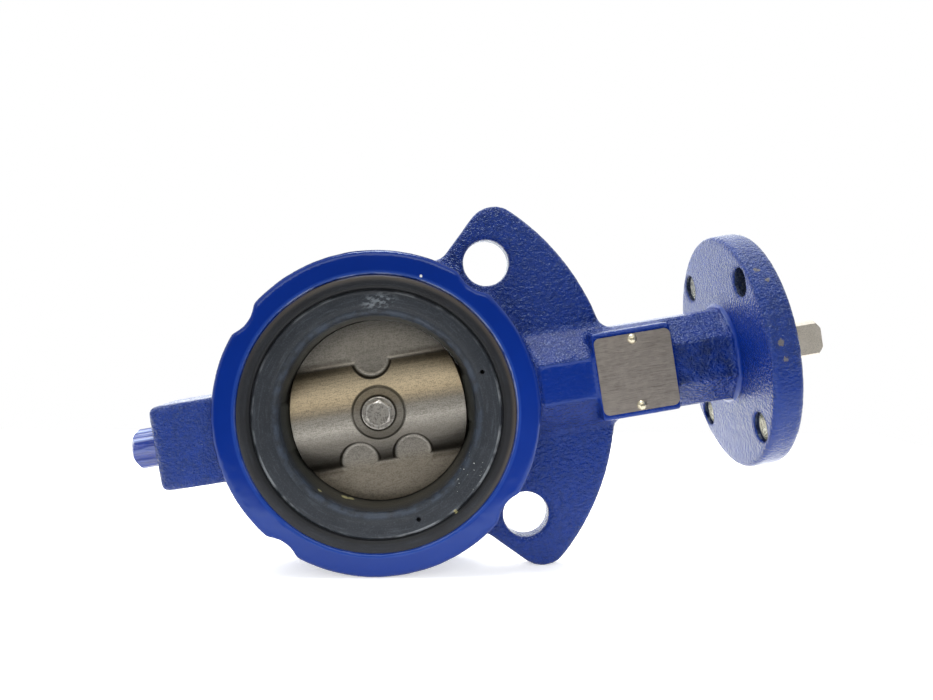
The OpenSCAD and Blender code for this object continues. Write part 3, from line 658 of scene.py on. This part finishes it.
def rubber():
    """Dusty black rubber, rubbed pale along its ridge, stained where paint and water reach; its
    ridge, groove and bead slope carry painted light.
    """
    material, g, p = new_material("seat_rubber")
    x, y, z = g.parts(p)
    across = g.math("ABSOLUTE", y)
    radius = g.length(x, z)
    angle = g.math("ARCTAN2", z, x)
    turned = g.node("CombineXYZ", {0: radius, 1: g.times(angle, 0.004), 2: across}).outputs[0]
    rings = g.noise(turned, 1300, 3)
    cloud = g.noise(p, 75, 3)
    fine = g.noise(p, 1700, 3, 0.6)

    colour = g.mix(cloud, RUBBER_DARK, RUBBER_LIGHT)
    colour = g.mix(g.times(g.step(fine, 0.5, 0.72), 0.45), colour, DUST)
    colour = g.mix(g.times(g.step(rings, 0.52, 0.7), 0.3), colour, RING_DUST)
    bead = g.step(radius, 49.8 * MM, 50.6 * MM)
    colour = g.mix(g.times(bead, g.step(cloud, 0.35, 0.65, 0.5, 0.9)), colour, BEAD_BLACK)
    bore = g.step(across, 17 * MM, 11 * MM)
    colour = g.mix(g.times(bore, 0.75), colour, BORE_GREY)
    mouth = g.times(g.step(radius, 42.8 * MM, 41 * MM), g.band(across, 17.5 * MM, 23 * MM, 2 * MM))
    patches = g.step(g.noise(p, 260, 3), 0.35, 0.65)
    colour = g.mix(g.times(mouth, patches, 0.4), colour, MOUTH_BLUE)
    # Painted sheen: the bead's outer slope lighter and browner towards the upper right, facing the
    # light
    slope_sheen = g.times(g.step(radius, 53.2 * MM, 54.8 * MM),
                    g.step(g.add(z, x), -40 * MM, 40 * MM, 0.05, 1.0))
    colour = g.mix(g.times(slope_sheen, 0.6), colour, SLOPE_SHEEN)
    # Painted shade: near black in the groove at the foot of the bead
    groove_shade = g.band(radius, 50.1 * MM, 51.2 * MM, 0.7 * MM)
    colour = g.mix(g.times(groove_shade, 0.75), colour, GROOVE_SHADE)
    # Pale line in patches along the ridge's crest: partly rubbing wear, partly a painted highlight
    ridge_wear_and_glint = g.times(g.band(radius, 48.9 * MM, 49.6 * MM, 0.4 * MM),
                    g.step(g.noise(p, 110, 3), 0.42, 0.62),
                    g.step(z, 30 * MM, -20 * MM, 0.3, 0.75))
    colour = g.mix(ridge_wear_and_glint, colour, RIDGE_WEAR_AND_GLINT)
    sprayed = g.times(g.step(radius, 54.9 * MM, 55.7 * MM), g.step(g.noise(p, 60), 0.35, 0.65))
    colour = g.mix(g.times(sprayed, 0.6), colour, OVERSPRAY)

    squeezed = g.stretched(p, 0.5, 1, 1)
    away = g.distance(squeezed, (0.5 * SMUDGE[0] * MM, SMUDGE[1] * MM, SMUDGE[2] * MM))
    smudge = g.times(g.step(away, 4.6 * MM, 1.5 * MM),
                     g.step(g.noise(squeezed, 800, 3, 0.6), 0.44, 0.62))
    colour = g.mix(g.times(smudge, 0.6), colour, SMUDGE_GREY)
    near_grit = g.math("LESS_THAN", g.distance(p, in_metres(GRIT)), 9 * MM)
    grit = g.times(near_grit, g.step(g.noise(p, 1150, 1), 0.73, 0.76))
    colour = g.mix(grit, colour, GRIT_WHITE)
    for place, size in DEBRIS:
        colour = g.mix(g.times(spot(g, p, place, size), 0.85), colour, DEBRIS_TAN)
    normal = g.bump(g.add(fine, g.times(rings, 0.8)), 0.09 * MM)
    g.finish(**{"Base Color": colour, "Roughness": 0.42, "Specular IOR Level": 0.24,
                "Normal": normal})
    return material


# ---- Steel of the disc ----

# Painted light here: warm and pale hub highlights; dull, wall, hollow, pad and screw-ring shade
DISC_DARK, DISC_LIGHT, HUB_TOP_HIGHLIGHT = rgb(138, 134, 127), rgb(158, 153, 145), rgb(170, 154, 125)
WEB_WARM, HUB_MID_HIGHLIGHT, HUB_LOW_SHADE = rgb(124, 112, 92), rgb(176, 171, 162), rgb(86, 82, 76)
GRAIN_DIRT, WALL_SHADE, HOLLOW_SHADE = rgb(84, 79, 70), rgb(52, 47, 40), rgb(56, 49, 41)
PAD_SHADE, PAD_EDGE_SHADE, SCREW_SHADOW = rgb(100, 95, 86), rgb(66, 62, 55), rgb(34, 31, 28)


def disc_steel():
    """Satin cast steel, dirty in its grain, with painted shade in the hollows and along the hub's
    walls and painted highlights on the hub.
    """
    material, g, p = new_material("disc_steel")
    x, y, z = g.parts(p)
    across = g.math("ABSOLUTE", y)
    radius = g.length(x, z)
    sideways = g.math("ABSOLUTE", x)
    grain = g.noise(p, 2100, 3, 0.65)
    brushed = g.noise(g.stretched(p, 0.2, 1, 1), 2300)

    proud = g.step(across, WEB_HALF + 0.2 * MM, WEB_HALF + 1.2 * MM)
    colour = g.mix(g.noise(p, 60, 3), DISC_DARK, DISC_LIGHT)
    # Painted highlight: warm golden colour on the upper half of the hub, which faces the light
    # above
    colour = g.mix(g.times(proud, g.step(z, -1 * MM, 7 * MM, 0.0, 0.8)), colour, HUB_TOP_HIGHLIGHT)
    colour = g.mix(g.times(g.step(z, -17 * MM, -24 * MM), 0.5), colour, WEB_WARM)
    # Painted highlight: a paler band across the hub just below its middle
    colour = g.mix(g.times(proud, g.band(z, -4 * MM, 0, 3 * MM), 0.7), colour, HUB_MID_HIGHLIGHT)
    # Painted shade: the hub darker towards its bottom
    colour = g.mix(g.times(proud, g.step(z, -4 * MM, -11 * MM, 0.0, 0.7)), colour, HUB_LOW_SHADE)
    pits = g.step(g.add(grain, g.times(brushed, 0.5)), 0.62, 0.95)
    colour = g.mix(g.times(pits, 0.5), colour, GRAIN_DIRT)

    side = math.cos(SCALLOP_LOW_ANGLE) * SCALLOP_C
    below = math.sin(SCALLOP_LOW_ANGLE) * SCALLOP_C
    upper = g.length(x, g.math("SUBTRACT", z, SCALLOP_C))
    lower = g.length(g.math("SUBTRACT", sideways, side), g.add(z, below))
    # Painted shade: dark crescents along the scallops' walls, where the hub falls to the web
    for away in (upper, lower):
        wall = g.times(g.band(away, SCALLOP_R - 1.3 * MM, SCALLOP_R, 0.4 * MM), proud)
        colour = g.mix(g.times(wall, 0.85), colour, WALL_SHADE)
    # Painted shade: dark brown band where the hub meets the web above and below, stronger
    # off-centre
    solid = [g.step(away, SCALLOP_R - 0.5 * MM, SCALLOP_R + 0.5 * MM) for away in (upper, lower)]
    hollow_shade = g.times(g.band(g.math("ABSOLUTE", z), 19 * MM, 22.5 * MM, 2 * MM), *solid)
    colour = g.mix(g.times(hollow_shade, g.step(sideways, 4 * MM, 20 * MM, 0.15, 0.5)), colour,
                   HOLLOW_SHADE)

    # Painted shade: the screw's pad darker than the hub round it
    on_pad = g.step(radius, HUB_PAD_R, HUB_PAD_R - 0.8 * MM)
    colour = g.mix(g.times(on_pad, 0.5), colour, PAD_SHADE)
    # Painted shade: a dark ring along the edge of the screw's pad
    pad_edge_shade = g.band(radius, HUB_PAD_R - 0.7 * MM, HUB_PAD_R + 0.1 * MM, 0.3 * MM)
    colour = g.mix(g.times(pad_edge_shade, 0.5), colour, PAD_EDGE_SHADE)
    # Painted shadow: a dark ring round the screw's flange on the front face
    screw_shadow = g.band(radius, SCREW_FLANGE_R - 1 * MM, SCREW_FLANGE_R + 0.6 * MM, 0.5 * MM)
    in_front = g.math("LESS_THAN", y, 0.0)
    colour = g.mix(g.times(screw_shadow, in_front, 0.85), colour, SCREW_SHADOW)
    normal = g.bump(g.add(grain, g.times(brushed, 0.4)), 0.06 * MM)
    g.finish(**{"Base Color": colour, "Metallic": 1.0, "Roughness": 0.44, "Normal": normal})
    return material


# ---- The small pieces ----

def steel(name, dark, light, roughness, scale, depth, brushing=1.0, contrast=0.6):
    """Bare steel with grain; brushing under 1 draws the grain out along X."""
    material, g, p = new_material(name)
    lines = g.noise(g.stretched(p, brushing, 1, 1), scale, 3, 0.6)
    colour = g.mix(g.noise(p, scale / 12, 3), dark, light)
    colour = g.mix(g.times(g.step(lines, 0.45, 0.7), contrast), colour, shaded(dark, 0.55))
    g.finish(**{"Base Color": colour, "Metallic": 1.0, "Roughness": roughness,
                "Normal": g.bump(lines, depth)})
    return material


def plain(name, colour, roughness, metallic=0.0):
    """A material of one colour with soft mottling and a fine grain."""
    material, g, p = new_material(name)
    mottled = g.mix(g.noise(p, 300, 3), shaded(colour, 0.85), colour)
    g.finish(**{"Base Color": mottled, "Metallic": metallic, "Roughness": roughness,
                "Normal": g.bump(g.noise(p, 1800), 0.03 * MM)})
    return material


def wear(node_names, material):
    """Gives CAD nodes their material."""
    for name in node_names:
        mesh = nodes[name].data
        mesh.materials.clear()
        mesh.materials.append(material)


make_camera()
make_floor()
make_world()
for lamp in LAMPS:
    area_light(*lamp)
make_casting(enamel())
make_seat(rubber())
wear(["bottom_plug"], plug_enamel())
wear(["disc"], disc_steel())
wear(["stem"],
     steel("stem_steel", rgb(212, 203, 190), rgb(226, 218, 206), 0.5, 3000, 0.02 * MM))
wear(["nameplate"], steel("plate_steel", rgb(158, 150, 144), rgb(196, 187, 180), 0.4, 5200,
                          0.06 * MM, brushing=0.035))
wear(["disc_screw"], steel("screw_steel", rgb(158, 153, 146), rgb(218, 213, 205), 0.34, 1100,
                           0.12 * MM, contrast=0.8))
wear(["drive_screw_upper", "drive_screw_lower"],
     steel("pin_steel", rgb(196, 186, 160), rgb(222, 214, 190), 0.3, 1800, 0.04 * MM))
wear(["upper_bushing", "middle_bushing", "lower_bushing"],
     plain("bronze", rgb(176, 132, 74), 0.35, 1.0))
wear(["stem_packing"], plain("packing", rgb(225, 222, 212), 0.5))
wear(["dust_wiper", "stem_ring_upper", "stem_ring_lower", "disc_screw_ring"],
     plain("ring_rubber", rgb(30, 30, 32), 0.5))
wear(["plug_washer"], plain("fibre", rgb(90, 84, 78), 0.7))

bpy.context.scene.view_settings.view_transform = "Standard"
